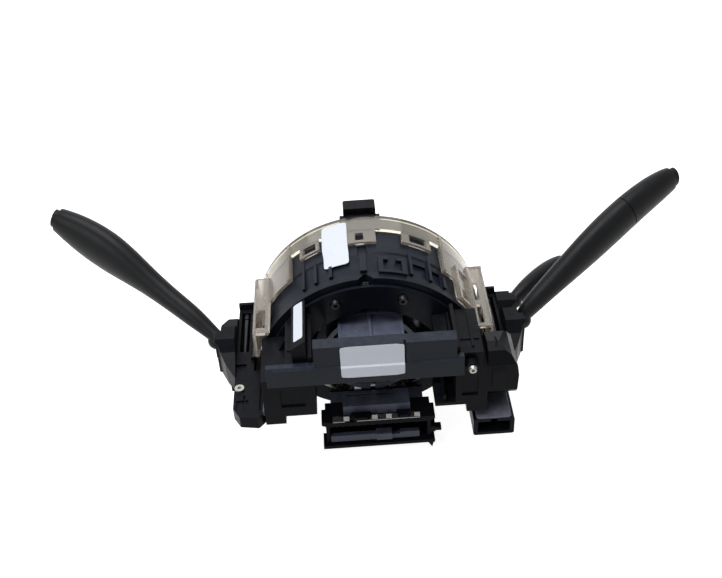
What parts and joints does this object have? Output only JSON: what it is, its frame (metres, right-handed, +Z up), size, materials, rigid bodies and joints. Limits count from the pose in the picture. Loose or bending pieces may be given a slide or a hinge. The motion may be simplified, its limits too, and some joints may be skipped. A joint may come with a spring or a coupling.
{
  "type": "steering column switch module with clock spring",
  "caption": "Steering column switch module: clock spring drum with clear cover, rear bridge over the column, wiper, indicator and cruise stalks, and wiring connectors.",
  "frame": {"origin": "on the column axis, at the front face of the clear cover, inside the splined hub bore", "axes": "+Y along the column towards the front of the car, -Y towards the driver, +X to the driver's right, +Z up"},
  "size_m": [0.3404, 0.1181, 0.1228],
  "materials": {
    "black_plastic": "satin moulded",
    "grey_plastic": "satin moulded",
    "clear_plastic": "clear, slightly yellow",
    "yellow_plastic": "moulded",
    "ribbon_film": "film",
    "zinc_steel": "zinc plated",
    "tin_pins": "tin plated",
    "board": "solder mask"
  },
  "bodies": {
    "module": {"drum_housing": "black_plastic", "clear_cover": "clear_plastic", "flat_ribbon": "ribbon_film", "rear_plate": "black_plastic", "plate_screws": "zinc_steel", "light_gate": "black_plastic", "column_collar": "grey_plastic", "clamp_screw": "zinc_steel", "cheek_left": "black_plastic", "cheek_right": "black_plastic", "bridge_beam": "black_plastic", "rail_left": "black_plastic", "rail_right": "black_plastic", "guide_rods": "zinc_steel", "body_screws": "zinc_steel", "corner_block": "black_plastic", "corner_boss": "black_plastic", "boss_screw": "zinc_steel", "wiper_switch_housing": "black_plastic", "indicator_switch_housing": "black_plastic", "cruise_switch_housing": "black_plastic", "electronics_box": "grey_plastic", "circuit_board": "board", "box_lid": "black_plastic", "main_connector": "black_plastic", "connector_pins": "tin_pins", "shield_strip": "zinc_steel", "side_socket": "grey_plastic", "side_socket_pins": "tin_pins", "column_shelf": "grey_plastic", "drum_arch": "black_plastic", "arch_lip": "black_plastic", "cover_legs": "clear_plastic"},
    "rotor": {"rotor_hub": "black_plastic", "hub_spline": "zinc_steel", "rotor_face": "black_plastic", "wheel_plug": "black_plastic", "wheel_plug_pins": "tin_pins", "airbag_socket": "yellow_plastic", "driver_pegs": "zinc_steel", "code_disc": "zinc_steel", "cancel_cam": "grey_plastic", "rotor_sleeve": "black_plastic", "rotor_web": "black_plastic"},
    "wiper_crosspiece": {"wiper_carrier": "zinc_steel"},
    "wiper_lever": {"wiper_stalk": "black_plastic"},
    "wiper_cap": {"wiper_end_cap": "black_plastic"},
    "indicator_crosspiece": {"indicator_carrier": "zinc_steel"},
    "indicator_lever": {"indicator_stalk": "black_plastic"},
    "indicator_cap": {"indicator_end_cap": "black_plastic"},
    "cruise_crosspiece": {"cruise_carrier": "zinc_steel"},
    "cruise_lever": {"cruise_stalk": "black_plastic"},
    "cruise_button": {"cruise_end_button": "black_plastic"},
    "lock_bar": {"connector_lock": "grey_plastic"}
  },
  "joints": [
    {"name": "rotor_turn", "type": "hinge", "parent": "module", "child": "rotor", "pos_m": [0, 0, 0], "axis": [0, 1, 0], "range_deg": [-900, 900]},
    {"name": "wiper_raise", "type": "hinge", "parent": "module", "child": "wiper_crosspiece", "pos_m": [0.0756, 0.0312, 0.005], "axis": [0, 1, 0], "range_deg": [-9, 9]},
    {"name": "wiper_pull", "type": "hinge", "parent": "wiper_crosspiece", "child": "wiper_lever", "pos_m": [0.0756, 0.0312, 0.005], "axis": [0, 0, -1], "range_deg": [0, 6], "stiffness_Nm_per_rad": 1.5, "springref_deg": -1.72},
    {"name": "wiper_cap_push", "type": "slide", "parent": "wiper_lever", "child": "wiper_cap", "axis": [-0.8488, 0.3512, -0.3951], "range_m": [0, 0.0014], "stiffness_N_per_m": 600, "springref_m": -0.0005},
    {"name": "indicator_raise", "type": "hinge", "parent": "module", "child": "indicator_crosspiece", "pos_m": [-0.0756, 0.0312, 0.005], "axis": [0, 1, 0], "range_deg": [-9, 9]},
    {"name": "indicator_pull", "type": "hinge", "parent": "indicator_crosspiece", "child": "indicator_lever", "pos_m": [-0.0756, 0.0312, 0.005], "axis": [0, 0, 1], "range_deg": [-5, 6], "stiffness_Nm_per_rad": 1.5},
    {"name": "indicator_cap_push", "type": "slide", "parent": "indicator_lever", "child": "indicator_cap", "axis": [0.8642, 0.4644, -0.1935], "range_m": [0, 0.0014], "stiffness_N_per_m": 600, "springref_m": -0.0005},
    {"name": "cruise_raise", "type": "hinge", "parent": "module", "child": "cruise_crosspiece", "pos_m": [-0.0756, 0.0065, -0.001], "axis": [0, 1, 0], "range_deg": [-6, 6], "stiffness_Nm_per_rad": 1},
    {"name": "cruise_pull", "type": "hinge", "parent": "cruise_crosspiece", "child": "cruise_lever", "pos_m": [-0.0756, 0.0065, -0.001], "axis": [0, 0, 1], "range_deg": [-5, 5], "stiffness_Nm_per_rad": 1},
    {"name": "cruise_button_push", "type": "slide", "parent": "cruise_lever", "child": "cruise_button", "axis": [0.7187, 0.69, 0.0862], "range_m": [0, 0.0014], "stiffness_N_per_m": 600, "springref_m": -0.0005},
    {"name": "connector_lock_slide", "type": "slide", "parent": "module", "child": "lock_bar", "axis": [-1, 0, 0], "range_m": [0, 0.004]}
  ]
}
